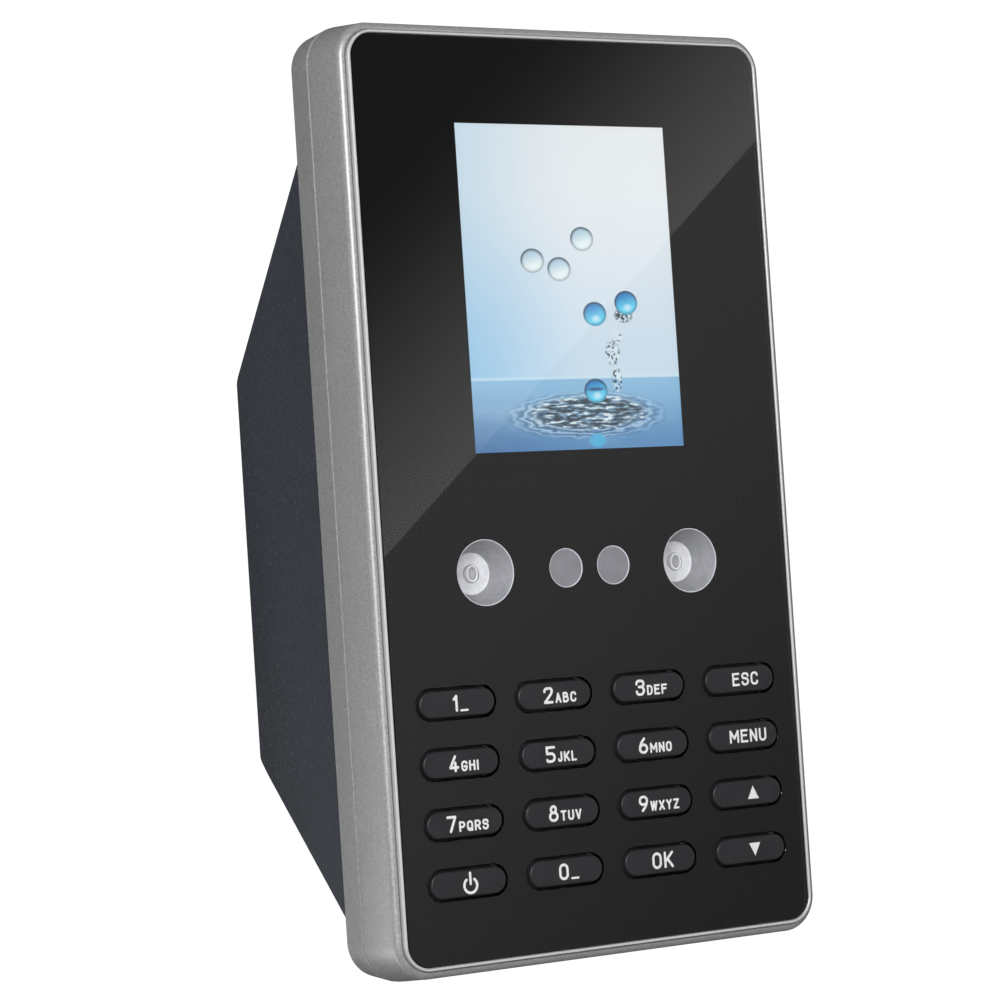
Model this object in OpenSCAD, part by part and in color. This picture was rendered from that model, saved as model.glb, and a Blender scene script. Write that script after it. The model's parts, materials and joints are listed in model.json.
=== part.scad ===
// Wall-mounted access terminal: display, two cameras, two infrared lamps and a 16-key keypad.
// The origin is the centre of the wall plate's back face. +Y points into the wall, +X is to the
// right of a person who faces the terminal, and +Z is up.

/* [Terminal] */
// Depth from the wall to the front of the panel
terminal_d = 49.4; // [44:0.2:54]
// Height of the panel's centre above the wall plate's centre
panel_lift = 8.8; // [8:0.2:10]

/* [Front panel] */
// Width of the clear panel
panel_w = 83; // [82:0.2:86]
// Height of the clear panel
panel_h = 157.4; // [155:0.2:164]
// Corner radius of the clear panel
panel_r = 4.2; // [3:0.2:6]
// Thickness of the clear panel
panel_t = 1.5; // [1:0.1:1.7]
// Thickness of the black print behind it
mask_t = 0.15; // [0.1:0.05:0.2]

/* [Silver frame] */
// Width of the raised lip round the panel
lip_w = 0.45; // [0.4:0.05:0.6]
// Height of the lip above the rounded edge
lip_h = 0.85; // [0.5:0.05:1.2]
// Radius of the bezel's rounded front edge
edge_r = 1.2; // [0.8:0.1:1.4]
// How far each side wall flares out between the front edge and the seam
flare = 0.9; // [0.2:0.1:1.2]
// Distance from the panel's front to the seam
seam_y = 10.2; // [9.8:0.1:11]
// Width of the seam between bezel and rear frame
seam_gap = 0.2; // [0.1:0.05:0.4]
// Distance from the panel's front to the rear frame's back
frame_y = 17.2; // [17:0.1:18]

/* [Back housing] */
// Width of the wedge-shaped housing
housing_w = 86; // [85.6:0.1:86.2]
// Height above the panel's centre where the upper slope starts
slope_top_z = 61; // [60:0.5:66]
// Height where the upper slope meets the flat back
back_top_z = 22.2; // [20:0.2:24]
// Height where the flat back meets the lower slope
back_bottom_z = -41.6; // [-43:0.2:-39]
// Height where the lower slope ends at the frame
slope_bottom_z = -72; // [-72.4:0.2:-69]
// Thickness of the housing's walls
wall_t = 1.8; // [1.5:0.1:2.2]

/* [Display] */
// Width of the picture
screen_w = 43.2; // [40:0.2:44]
// Height of the picture
screen_h = 56.8; // [54:0.2:58]
// Height of the picture's centre above the panel's centre
screen_z = 35.5; // [34:0.1:36]

/* [Sensors] */
// Height of the cameras and lamps, from the panel's centre
sensor_z = -13.3; // [-14:0.1:-13]
// Distance of each lamp from the middle
lamp_x = 21.2; // [20:0.1:23]
// Radius of a lamp window
lamp_window_r = 5.7; // [5:0.1:6]
// Distance of each camera from the middle
camera_x = 4.9; // [4.7:0.05:5.5]
// Radius of a camera window
camera_window_r = 3.4; // [3:0.1:3.6]

/* [Keypad] */
// Distance between key columns
key_pitch_x = 19.5; // [19:0.1:19.8]
// Distance between key rows
key_pitch_z = 10.1; // [9.6:0.05:10.2]
// Height of the first key row, from the panel's centre
first_row_z = -35; // [-36:0.1:-34.5]
// Width of a key's face
key_w = 14.8; // [14:0.1:15.2]
// Height of a key's face
key_h = 4.6; // [4.4:0.1:5]
// Gap between a key and its hole
key_gap = 0.4; // [0.25:0.05:0.4]
// How far a key stands out of the panel
key_proud = 0.5; // [0.2:0.05:0.8]
// How far a key travels
key_travel = 0.8; // [0.4:0.1:0.8]

/* [Hidden] */
$fn = 48;
eps = 0.01;
KEYS = ["1", "2", "3", "esc", "4", "5", "6", "menu", "7", "8", "9", "up", "power", "0", "ok", "down"];
KEY_NODES = [for (k = KEYS) str("key_", k)];
FIXED_NODES = [
    "front_bezel", "rear_frame", "seal_ring", "front_panel", "panel_mask",
    "display_gasket", "display_glass", "display_frame", "display_bracket", "display_ribbon",
    "reflector_left", "reflector_right", "lamp_left", "lamp_right",
    "camera_window_left", "camera_window_right", "camera_left", "camera_right",
    "sensor_board", "sensor_ribbon",
    "keypad_mat", "keypad_board", "contact_pads", "keypad_ribbon",
    "main_board", "processor", "memory_chips", "ribbon_connectors", "lock_relay",
    "cell_holder", "backup_cell", "capacitors", "speaker",
    "power_jack", "usb_socket", "network_socket", "terminal_block",
    "back_housing", "housing_screws", "board_screws", "wall_plate", "lock_screw", "rating_label"
];

// Depths of the layers, measured back from the front of the raised lip
panel_y = 0.1;
mask_y = panel_y + panel_t;
floor_y = mask_y + mask_t;
floor_back_y = floor_y + 1.45;
panel_clearance = 0.1;
lip_out_w = panel_w + 2 * (panel_clearance + lip_w);
lip_out_h = panel_h + 2 * (panel_clearance + lip_w);
lip_out_r = panel_r + panel_clearance + lip_w;
wall_out_w = lip_out_w + 2 * edge_r + 0.5;
wall_out_h = lip_out_h + 2 * edge_r + 0.5;
wall_out_r = lip_out_r + edge_r + 0.1;
seam_out_w = wall_out_w + 2 * flare;
seam_out_h = wall_out_h + 2 * flare;
seam_out_r = wall_out_r + flare;
bezel_wall = 1.5;
cavity_w = wall_out_w - 2 * bezel_wall;
cavity_h = wall_out_h - 2 * bezel_wall;
cavity_r = wall_out_r - bezel_wall;
tongue_end_y = 13.4;
frame_in_w = seam_out_w - 3.2;
frame_in_h = seam_out_h - 3.2;
frame_in_r = seam_out_r - 1.6;
tongue_w = frame_in_w - 0.3;
tongue_h = frame_in_h - 0.3;
tongue_r = frame_in_r - 0.15;
seal_end_y = 14.4;
flange_end_y = frame_y - 0.3;
flange_w = frame_in_w - 0.2;
flange_h = frame_in_h - 0.2;
flange_r = frame_in_r - 0.1;

// Layers of the keypad
flange_y = floor_back_y + 0.2;
key_flange_t = 0.8;
plunger_end_y = flange_y + key_flange_t + 2.1;
contact_t = 0.2;
pad_t = 0.1;
keypad_board_y = plunger_end_y + contact_t + key_travel + 0.2 + pad_t;
keypad_board_t = 1.2;
mat_t = 1.5;
keypad_mid_z = first_row_z - 1.5 * key_pitch_z;
hole_w = key_w + 2 * key_gap;
hole_h = key_h + 2 * key_gap;
keypad_board_w = 82;
keypad_board_h = 42;
keypad_mat_w = 71;
keypad_screw_x = 38.9;

// Display layers
glass_y = floor_y + 0.45;
glass_t = 1.4;
glass_w = screen_w + 3.6;
glass_h = screen_h + 5.2;
display_frame_w = glass_w + 3.2;
display_frame_h = glass_h + 6;
display_frame_end_y = floor_back_y + 3.2;
bracket_t = 0.8;
bracket_arm_z = 24;
bracket_screw_x = display_frame_w / 2 + 4;

// Sensor layers
filter_t = 0.5;
reflector_depth = 4.8;
reflector_bottom_r = 3.6;
reflector_wall = 0.7;
lamp_r = 1.5;
sensor_board_y = 8.2;
sensor_board_t = 1;
lamp_gap = 0.05;
sensor_screw_x = 11.9;
sensor_screw_z = 4.6;

// Housing and wall plate
back_y = terminal_d - 0.2;
plate_t = 1.5;
plate_w = 66;
plate_h = 48;
plate_y = terminal_d - plate_t;
recess_floor_y = plate_y - 2.1;
plate_z = -panel_lift;
plate_bottom_z = plate_z - plate_h / 2;
lock_y = back_y - 4;
screw_span_x = 50;
screw_span_z = 36;
screw_hole_r = 2.2;
hook_x = 22;
hook_z = 12;
hook_t = 1.2;
hang_drop = 1.6;
tab_half_w = 4.6;
main_board_y = 20;
main_board_t = 1.6;
main_board_back_y = main_board_y + main_board_t;
bay_top_z = -42.5;
bay_half_w = 33;
lock_head_z = bay_top_z + 3.3;
bay_front_y = 21.2;
bay_back_y = back_y - 4.6;
board_w = 78;
board_bottom_z = bay_top_z + wall_t + 0.4;
board_top_z = 40;
speaker_y = 33.9;
speaker_z = -6;
speaker_r = 11;
housing_screw_x = 35.5;
housing_screw_zs = [72.5, -76];
boss_r = 2.9;
screw_r = 1.2;
small_boss_r = 1.8;
small_screw_r = 0.8;
screw_fit = 0.04;

// Sockets: place across, then width, depth and height
jack_x = -27;
jack_size = [9, 11, 14];
usb_x = -12;
usb_size = [13.2, 5.8, 14];
network_x = 6.5;
network_size = [16, 13.4, 21];
terminals_x = 24.5;
terminals_size = [14.4, 9, 9];
terminal_pitch = 3.5;
SOCKETS = [[jack_x, jack_size], [usb_x, usb_size], [network_x, network_size], [terminals_x, terminals_size]];

// Places shapes given from the front of the panel and its centre
module at_panel() {
    translate([0, -terminal_d, panel_lift]) children();
}

// Rectangle with rounded corners
module rounded_rect(w, h, r) {
    union() {
        square([w - 2 * r, h], center = true);
        square([w, h - 2 * r], center = true);
        for (sx = [-1, 1])
            for (sz = [-1, 1])
                translate([sx * (w / 2 - r), sz * (h / 2 - r)]) circle(r = r);
    }
}

// Bar with round ends
module pill(w, h) {
    union() {
        square([w - h, h], center = true);
        for (s = [-1, 1])
            translate([s * (w - h) / 2, 0]) circle(d = h);
    }
}

// Extrudes a front-view outline from depth y0 to depth y1
module layer(y0, y1) {
    translate([0, y1, 0]) rotate([90, 0, 0]) linear_extrude(y1 - y0) children();
}

module slab(w, h, r, y0, y1) {
    layer(y0, y1) rounded_rect(w, h, r);
}

// Cylinder along the depth, from y0 to y1
module rod_y(r, y0, y1) {
    translate([0, y1, 0]) rotate([90, 0, 0]) cylinder(r = r, h = y1 - y0);
}

// Box from its lowest corner to its highest
module block(low, high) {
    translate(low) cube(high - low);
}

// Places a shape at every key
module at_keys() {
    for (i = [0 : len(KEYS) - 1])
        at_key(i) children();
}

module at_key(i) {
    column = i % 4;
    row = floor(i / 4);
    translate([(column - 1.5) * key_pitch_x, 0, first_row_z - row * key_pitch_z]) children();
}

// Places a shape on both sides at a distance from the middle
module both_sides(x) {
    for (s = [-1, 1])
        translate([s * x, 0, 0]) children();
}

module at_housing_screws() {
    both_sides(housing_screw_x)
        for (z = housing_screw_zs)
            translate([0, 0, z]) children();
}

module at_keypad_screws() {
    both_sides(keypad_screw_x)
        for (s = [-1, 1])
            translate([0, 0, keypad_mid_z + s * (keypad_board_h / 2 - 3)]) children();
}

module at_bracket_screws() {
    both_sides(bracket_screw_x)
        for (s = [-1, 1])
            translate([0, 0, screen_z + s * bracket_arm_z]) children();
}

module at_sensor_screws() {
    for (s = [-1, 1])
        translate([s * sensor_screw_x, 0, sensor_z - s * sensor_screw_z]) children();
}

module at_main_board_screws() {
    both_sides(board_w / 2 - 4)
        for (z = [board_bottom_z + 6, 24])
            translate([0, 0, z]) children();
}

/* Silver frame */

module bezel_outside() {
    union() {
        slab(lip_out_w, lip_out_h, lip_out_r, 0, lip_h + 0.4);
        hull() {
            for (a = [0 : 22.5 : 90])
                slab(
                    wall_out_w - 2 * edge_r * (1 - sin(a)),
                    wall_out_h - 2 * edge_r * (1 - sin(a)),
                    wall_out_r - edge_r * (1 - sin(a)),
                    lip_h + edge_r * (1 - cos(a)),
                    lip_h + edge_r + 0.02
                );
            slab(seam_out_w, seam_out_h, seam_out_r, seam_y - 0.05, seam_y, $fn = 32);
        }
        slab(tongue_w, tongue_h, tongue_r, seam_y - 1, tongue_end_y);
    }
}

module floor_openings() {
    y0 = floor_y - 1;
    y1 = floor_back_y + 1;
    translate([0, 0, screen_z]) slab(glass_w + 0.6, glass_h + 0.6, 0.8, y0, y1);
    translate([0, 0, sensor_z]) {
        both_sides(lamp_x) rod_y(lamp_window_r + reflector_wall + 0.6, y0, y1);
        slab(4 * camera_x + 0.4, 9.2, 2, y0, y1);
    }
    at_keys() layer(y0, y1) pill(hole_w, hole_h);
}

module front_bezel() {
    color("silver") at_panel() {
        difference() {
            bezel_outside();
            slab(panel_w + 2 * panel_clearance, panel_h + 2 * panel_clearance,
                 panel_r + panel_clearance, -1, floor_y);
            slab(cavity_w, cavity_h, cavity_r, floor_back_y, tongue_end_y + 1);
            floor_openings();
        }
        difference() {
            union() {
                at_housing_screws() rod_y(boss_r, floor_back_y - eps, tongue_end_y - 0.2);
                at_keypad_screws() rod_y(small_boss_r, floor_back_y - eps, keypad_board_y);
                at_bracket_screws() rod_y(small_boss_r, floor_back_y - eps, display_frame_end_y);
                at_sensor_screws() rod_y(small_boss_r, floor_back_y - eps, sensor_board_y);
            }
            at_housing_screws() rod_y(screw_r + screw_fit, floor_back_y + 1, seal_end_y);
            at_keypad_screws() rod_y(small_screw_r + screw_fit, floor_back_y + 0.6, keypad_board_y + 1);
            at_bracket_screws()
                rod_y(small_screw_r + screw_fit, floor_back_y + 0.6, display_frame_end_y + 1);
            at_sensor_screws() rod_y(small_screw_r + screw_fit, floor_back_y + 0.6, sensor_board_y + 1);
        }
    }
}

module rear_frame() {
    color("darkgray") at_panel() difference() {
        hull() {
            slab(seam_out_w, seam_out_h, seam_out_r, seam_y + seam_gap, seam_y + seam_gap + 0.1, $fn = 32);
            slab(seam_out_w - 0.3, seam_out_h - 0.3, seam_out_r - 0.15,
                 frame_y - 0.5, frame_y - 0.4, $fn = 32);
            slab(seam_out_w - 1.1, seam_out_h - 1.1, seam_out_r - 0.55, frame_y - 0.1, frame_y, $fn = 32);
        }
        slab(frame_in_w, frame_in_h, frame_in_r, seam_y - 1, frame_y + 1);
    }
}

module seal_ring() {
    color("dimgray") at_panel() difference() {
        slab(tongue_w - 0.2, tongue_h - 0.2, tongue_r - 0.1, tongue_end_y, seal_end_y);
        slab(tongue_w - 2.8, tongue_h - 2.8, tongue_r - 1.4, tongue_end_y - 1, seal_end_y + 1);
    }
}

/* Front panel */

module front_panel() {
    color("white", 0.3) at_panel() difference() {
        slab(panel_w, panel_h, panel_r, panel_y, mask_y);
        at_keys() layer(panel_y - 1, mask_y + 1) pill(hole_w, hole_h);
    }
}

module panel_mask() {
    color("black") at_panel() difference() {
        slab(panel_w - 0.2, panel_h - 0.2, panel_r - 0.1, mask_y, floor_y);
        at_keys() layer(mask_y - 1, floor_y + 1) pill(hole_w, hole_h);
        translate([0, 0, screen_z]) layer(mask_y - 1, floor_y + 1)
            square([screen_w, screen_h], center = true);
        translate([0, 0, sensor_z]) {
            both_sides(lamp_x) rod_y(lamp_window_r, mask_y - 1, floor_y + 1);
            both_sides(camera_x) rod_y(camera_window_r, mask_y - 1, floor_y + 1);
        }
    }
}

/* Display */

module display_gasket() {
    color("dimgray") at_panel() translate([0, 0, screen_z]) difference() {
        slab(glass_w, glass_h, 0.5, floor_y, glass_y);
        slab(screen_w + 1.2, screen_h + 1.2, 0.3, floor_y - 1, glass_y + 1);
    }
}

module display_glass() {
    color("lightblue") at_panel() translate([0, 0, screen_z])
        slab(glass_w, glass_h, 0.3, glass_y, glass_y + glass_t);
}

module display_frame() {
    color("gainsboro") at_panel() translate([0, 0, screen_z]) difference() {
        slab(display_frame_w, display_frame_h, 0.8, floor_back_y, display_frame_end_y);
        slab(glass_w + 0.2, glass_h + 0.2, 0.4, floor_back_y - 1, glass_y + glass_t);
    }
}

module display_bracket() {
    arm_w = 6;
    color("lightgray") at_panel() difference() {
        translate([0, 0, screen_z]) layer(display_frame_end_y, display_frame_end_y + bracket_t) union() {
            square([display_frame_w, arm_w], center = true);
            for (s = [-1, 1])
                translate([0, s * bracket_arm_z]) rounded_rect(display_frame_w + 14, arm_w, 0.8);
            square([arm_w, 2 * bracket_arm_z], center = true);
        }
        at_bracket_screws() rod_y(1, display_frame_end_y - 1, display_frame_end_y + 2);
    }
}

function unit(v) = v / norm(v);
function left_of(v) = [-v[1], v[0]];

// Direction of the run before and after a ribbon's point i
function run_before(p, i) = unit(p[max(i, 1)] - p[max(i, 1) - 1]);
function run_after(p, i) = unit(p[min(i, len(p) - 2) + 1] - p[min(i, len(p) - 2)]);

// One edge of a ribbon: its points moved sideways by t along the mitre of each bend
function ribbon_edge(p, t) = [
    for (i = [0 : len(p) - 1])
        let (mitre = left_of(unit(run_before(p, i) + run_after(p, i))))
            p[i] + t * mitre / (mitre * left_of(run_before(p, i)))
];

function backwards(p) = [for (i = [len(p) - 1 : -1 : 0]) p[i]];

// Flat flexible cable seen from the side: straight runs between points, with thickness t
module ribbon(points, width, t) {
    rotate([90, 0, 90]) linear_extrude(width, center = true)
        polygon(concat(ribbon_edge(points, t / 2), backwards(ribbon_edge(points, -t / 2))));
}

module display_ribbon() {
    start_y = display_frame_end_y + 0.3;
    low_z = screen_z - display_frame_h / 2 + 1;
    color("goldenrod") at_panel()
        ribbon([[start_y, low_z + 5], [start_y, low_z], [14.5, low_z - 4], [17.6, low_z - 4]], 20, 0.3);
}

/* Cameras and lamps */

module reflector(side) {
    color("whitesmoke") at_panel() translate([side * lamp_x, 0, sensor_z]) rotate([-90, 0, 0])
        rotate_extrude() polygon([
            [lamp_window_r + 0.1, floor_y],
            [lamp_window_r + 0.1 + reflector_wall, floor_y],
            [reflector_bottom_r + reflector_wall, floor_y + reflector_depth + reflector_wall],
            [lamp_r + 0.1, floor_y + reflector_depth + reflector_wall],
            [lamp_r + 0.1, floor_y + reflector_depth],
            [reflector_bottom_r, floor_y + reflector_depth]
        ]);
}

module reflector_left() { reflector(-1); }
module reflector_right() { reflector(1); }

module lamp(side) {
    tip_y = floor_y + reflector_depth - 1.1;
    collar_y = floor_y + reflector_depth + reflector_wall + 0.1;
    color("lavender") at_panel() translate([side * lamp_x, 0, sensor_z]) union() {
        rod_y(lamp_r, tip_y + lamp_r, collar_y + 0.2);
        intersection() {
            translate([0, tip_y + lamp_r, 0]) sphere(r = lamp_r);
            rod_y(lamp_r + 1, tip_y - 1, tip_y + lamp_r + eps);
        }
        rod_y(lamp_r + 0.4, collar_y, sensor_board_y - lamp_gap);
    }
}

module lamp_left() { lamp(-1); }
module lamp_right() { lamp(1); }

module camera_window(side) {
    color("gray") at_panel() translate([side * camera_x, 0, sensor_z])
        rod_y(camera_window_r + 0.5, floor_y, floor_y + filter_t);
}

module camera_window_left() { camera_window(-1); }
module camera_window_right() { camera_window(1); }

module camera(side) {
    lens_front_y = floor_y + filter_t + 0.4;
    color("black") at_panel() translate([side * camera_x, 0, sensor_z]) difference() {
        union() {
            rod_y(3.2, lens_front_y, 6);
            slab(8.6, 8.6, 0.6, 6, sensor_board_y);
        }
        rod_y(2.2, lens_front_y - 1, lens_front_y + 0.6);
    }
}

module camera_left() { camera(-1); }
module camera_right() { camera(1); }

module sensor_board() {
    color("darkgreen") at_panel() difference() {
        translate([0, 0, sensor_z])
            slab(2 * lamp_x + 14, 15, 1, sensor_board_y, sensor_board_y + sensor_board_t);
        at_sensor_screws() rod_y(1, sensor_board_y - 1, sensor_board_y + 2);
    }
}

module sensor_ribbon() {
    board_back_y = sensor_board_y + sensor_board_t + 0.3;
    color("goldenrod") at_panel() translate([16, 0, 0])
        ribbon([[board_back_y, sensor_z + 6], [board_back_y, sensor_z - 1],
                [14.5, sensor_z - 4], [17.6, sensor_z - 4]], 9, 0.3);
}

/* Keypad */

module key(i) {
    color("dimgray") at_panel() at_key(i) union() {
        layer(panel_y - key_proud, flange_y + eps) pill(key_w, key_h);
        layer(flange_y, flange_y + key_flange_t) pill(hole_w + 0.9, hole_h + 0.9);
        layer(flange_y + key_flange_t - eps, plunger_end_y) pill(9, 2.8);
        layer(plunger_end_y - eps, plunger_end_y + contact_t) pill(7.6, 2);
    }
}

module keypad_mat() {
    color("lightgray") at_panel() difference() {
        translate([0, 0, keypad_mid_z])
            slab(keypad_mat_w, keypad_board_h, 2, keypad_board_y - mat_t, keypad_board_y);
        at_keys() layer(keypad_board_y - mat_t - 1, keypad_board_y + 1) pill(10.4, 4.2);
    }
}

module keypad_board() {
    color("darkgreen") at_panel() difference() {
        translate([0, 0, keypad_mid_z])
            slab(keypad_board_w, keypad_board_h, 1.5, keypad_board_y, keypad_board_y + keypad_board_t);
        at_keypad_screws() rod_y(1, keypad_board_y - 1, keypad_board_y + 3);
    }
}

module contact_pads() {
    color("gold") at_panel() at_keys() layer(keypad_board_y - pad_t, keypad_board_y) pill(8.4, 2.6);
}

module keypad_ribbon() {
    board_back_y = keypad_board_y + keypad_board_t + 0.3;
    color("goldenrod") at_panel() translate([-18, 0, 0])
        ribbon([[board_back_y, -46], [board_back_y, -40], [14.5, -36], [17.6, -36]], 12, 0.3);
}

/* Main board */

module main_board() {
    color("darkgreen") at_panel() difference() {
        block([-board_w / 2, main_board_y, board_bottom_z], [board_w / 2, main_board_back_y, board_top_z]);
        at_main_board_screws() rod_y(1.5, main_board_y - 1, main_board_back_y + 1);
    }
}

module processor() {
    color("black") at_panel() block([-8, main_board_y - 1.6, 6], [8, main_board_y, 22]);
}

module memory_chips() {
    color("black") at_panel() for (x = [-30, 16])
        block([x, main_board_y - 1.1, 8], [x + 12, main_board_y, 20]);
}

module ribbon_connectors() {
    low_z = screen_z - display_frame_h / 2 - 3;
    color("ivory") at_panel() {
        block([-11.5, 17.8, low_z - 2], [11.5, main_board_y, low_z + 2]);
        block([10.5, 17.8, sensor_z - 6], [21.5, main_board_y, sensor_z - 2]);
        block([-25, 17.8, -38], [-11, main_board_y, -34]);
    }
}

module lock_relay() {
    color("royalblue") at_panel() block([16, main_board_back_y, -18], [31, main_board_back_y + 15, 1]);
}

module cell_holder() {
    color("black") at_panel() translate([-20, 0, 12]) difference() {
        rod_y(12, main_board_back_y, main_board_back_y + 4.4);
        rod_y(10.2, main_board_back_y + 1, main_board_back_y + 5);
    }
}

module backup_cell() {
    color("silver") at_panel() translate([-20, 0, 12])
        rod_y(10, main_board_back_y + 1, main_board_back_y + 4.2);
}

module capacitors() {
    color("navy") at_panel() for (x = [-26, -17, -8])
        translate([x, 0, -14]) rod_y(4, main_board_back_y, main_board_back_y + 10);
}

module speaker() {
    inner_x = housing_w / 2 - wall_t;
    color("black") at_panel() translate([inner_x - 4.4, speaker_y, speaker_z]) rotate([0, 90, 0]) union() {
        cylinder(r = speaker_r, h = 4.4);
        translate([0, 0, -2.4]) cylinder(r = 6, h = 2.5);
    }
}

/* Sockets in the bay underneath */

// Outside of a socket, made larger all round by gap
module socket_body(x, size, gap) {
    translate([x, 0, 0])
        block([-size[0] / 2 - gap, main_board_back_y - gap, bay_top_z],
              [size[0] / 2 + gap, main_board_back_y + size[1] + gap, bay_top_z + size[2]]);
}

module power_jack() {
    color("black") at_panel() difference() {
        socket_body(jack_x, jack_size, 0);
        translate([jack_x, main_board_back_y + jack_size[1] / 2, bay_top_z - 1]) difference() {
            cylinder(r = 3.15, h = 10.5);
            cylinder(r = 1, h = 11);
        }
    }
}

module usb_socket() {
    sheet_t = 0.35;
    half_w = usb_size[0] / 2 - sheet_t;
    color("silver") at_panel() union() {
        difference() {
            socket_body(usb_x, usb_size, 0);
            translate([usb_x, main_board_back_y, bay_top_z])
                block([-half_w, sheet_t, -1], [half_w, usb_size[1] - sheet_t, usb_size[2] - 2]);
        }
        translate([usb_x, main_board_back_y, bay_top_z])
            block([-5.6, 1.1, 1], [5.6, 2.9, usb_size[2] - 1.5]);
    }
}

module network_socket() {
    color("silver") at_panel() difference() {
        socket_body(network_x, network_size, 0);
        translate([network_x, main_board_back_y, bay_top_z]) {
            block([-6, 2, -1], [6, 9.6, 15]);
            block([-3, 9, -1], [3, 11.4, 8]);
        }
    }
}

module terminal_block() {
    color("green") at_panel() difference() {
        socket_body(terminals_x, terminals_size, 0);
        for (i = [-1.5 : 1.5])
            translate([terminals_x + i * terminal_pitch, main_board_back_y + 3.2, bay_top_z - 1])
                cylinder(r = 1.3, h = 7);
    }
}

/* Back housing */

// Side outline of the wedge: depth from the panel's front, and height; inset by t
module wedge_outline(t) {
    offset(delta = -t) polygon([
        [frame_y - 8, slope_top_z],
        [frame_y, slope_top_z],
        [back_y - 0.8, back_top_z],
        [back_y, back_top_z - 2],
        [back_y, back_bottom_z + 2],
        [back_y - 1.2, back_bottom_z - 1],
        [back_y - 5, back_bottom_z - 5],
        [frame_y, slope_bottom_z],
        [frame_y - 8, slope_bottom_z]
    ]);
}

// Plan of the wedge, with rounded rear corners
module wedge_plan(w, t, r) {
    end_y = back_y - t;
    union() {
        translate([-w / 2, frame_y - 9]) square([w, end_y - r - frame_y + 9]);
        translate([-w / 2 + r, frame_y - 9]) square([w - 2 * r, end_y - frame_y + 9]);
        for (s = [-1, 1])
            translate([s * (w / 2 - r), end_y - r]) circle(r = r);
    }
}

module wedge(t, r) {
    intersection() {
        translate([-housing_w / 2 + t, 0, 0]) rotate([90, 0, 90])
            linear_extrude(housing_w - 2 * t) wedge_outline(t);
        translate([0, 0, slope_bottom_z - 20]) linear_extrude(slope_top_z - slope_bottom_z + 40)
            wedge_plan(housing_w - 2 * t, t, r);
    }
}

// Shape behind a given depth
module behind(y) {
    intersection() {
        children();
        block([-60, y, -100], [60, 100, 100]);
    }
}

module bay_space(t) {
    block([-bay_half_w - t, bay_front_y - t, slope_bottom_z - 10],
          [bay_half_w + t, bay_back_y + t, bay_top_z + t]);
}

module socket_cutouts() {
    translate([0, 0, -1])
        for (socket = SOCKETS)
            socket_body(socket[0], [socket[1][0], socket[1][1], wall_t + 2], 0.2);
}

module speaker_holes() {
    for (ring = [0 : 2])
        for (i = [0 : max(0, 6 * ring - 1)])
            rotate([360 * i / max(1, 6 * ring), 0, 0])
                translate([housing_w / 2 - wall_t - 1, 0, 3 * ring]) rotate([0, 90, 0])
                    cylinder(r = 0.8, h = wall_t + 3, $fn = 16);
}

module back_housing() {
    color("#2f333c") at_panel() difference() {
        union() {
            difference() {
                union() {
                    behind(frame_y) wedge(0, 3);
                    slab(flange_w, flange_h, flange_r, seal_end_y, flange_end_y);
                    behind(seal_end_y) block(
                        [-frame_in_w / 2 + 0.4, seal_end_y, slope_bottom_z],
                        [frame_in_w / 2 - 0.4, frame_y + 0.1, slope_top_z]
                    );
                }
                behind(seal_end_y - 1) wedge(wall_t, 1.5);
            }
            intersection() {
                behind(seal_end_y) wedge(eps, 3);
                union() {
                    bay_space(wall_t);
                    block([-plate_w / 2 - 2.6, recess_floor_y - wall_t, plate_bottom_z - hang_drop - 2.4],
                          [plate_w / 2 + 2.6, back_y, plate_z + plate_h / 2 + 2.6]);
                    at_main_board_screws() rod_y(3, main_board_back_y, back_y);
                    translate([0, lock_y, 0]) block([-7.5, -5, bay_top_z], [7.5, 5, plate_bottom_z + 4]);
                }
            }
        }
        bay_space(0);
        block([-plate_w / 2 - 0.6, recess_floor_y, plate_bottom_z - hang_drop - 0.4],
              [plate_w / 2 + 0.6, back_y + 1, plate_z + plate_h / 2 + 0.6]);
        both_sides(hook_x)
            for (s = [-1, 1])
                translate([0, 0, plate_z + s * hook_z])
                    block([-4, recess_floor_y - wall_t - 1, -hang_drop],
                          [4, recess_floor_y + 1, hook_t + 0.2]);
        at_main_board_screws() rod_y(screw_r + screw_fit, main_board_back_y - 1, main_board_back_y + 9);
        at_housing_screws() {
            rod_y(screw_r + 0.2, seal_end_y - 1, frame_y + 1);
            rod_y(2.6, flange_end_y - 1, frame_y + 1);
        }
        translate([0, lock_y, 0]) {
            translate([0, 0, bay_top_z - 10]) cylinder(r = 1.7, h = plate_bottom_z + 1 - bay_top_z + 10);
            translate([0, 0, bay_top_z - 10]) cylinder(r = 3, h = lock_head_z - bay_top_z + 10);
            block([-tab_half_w - 0.6, -2, plate_bottom_z - hook_t - hang_drop],
                  [tab_half_w + 0.6, 2.4, plate_bottom_z + 1]);
        }
        socket_cutouts();
        translate([0, speaker_y, speaker_z]) speaker_holes();
    }
}

module housing_screws() {
    color("silver") at_panel() at_housing_screws() union() {
        rod_y(screw_r, 7, flange_end_y - 1);
        difference() {
            rod_y(2.3, flange_end_y - 1, flange_end_y + 0.2);
            translate([0, flange_end_y - 0.5, 0]) block([-1.5, 0, -0.3], [1.5, 2, 0.3]);
            translate([0, flange_end_y - 0.5, 0]) block([-0.3, 0, -1.5], [0.3, 2, 1.5]);
        }
    }
}

module board_screws() {
    color("silver") at_panel() {
        at_keypad_screws() small_screw(keypad_board_y + keypad_board_t);
        at_bracket_screws() small_screw(display_frame_end_y + bracket_t);
        at_sensor_screws() small_screw(sensor_board_y + sensor_board_t);
        at_main_board_screws() {
            rod_y(screw_r, main_board_y, main_board_back_y + 7);
            rod_y(2.2, main_board_y - 1.4, main_board_y);
        }
    }
}

// Screw whose head lies on the rear of a board at depth y
module small_screw(y) {
    rod_y(small_screw_r, floor_back_y + 1, y);
    rod_y(1.5, y, y + 0.9);
}

/* Wall plate */

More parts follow.
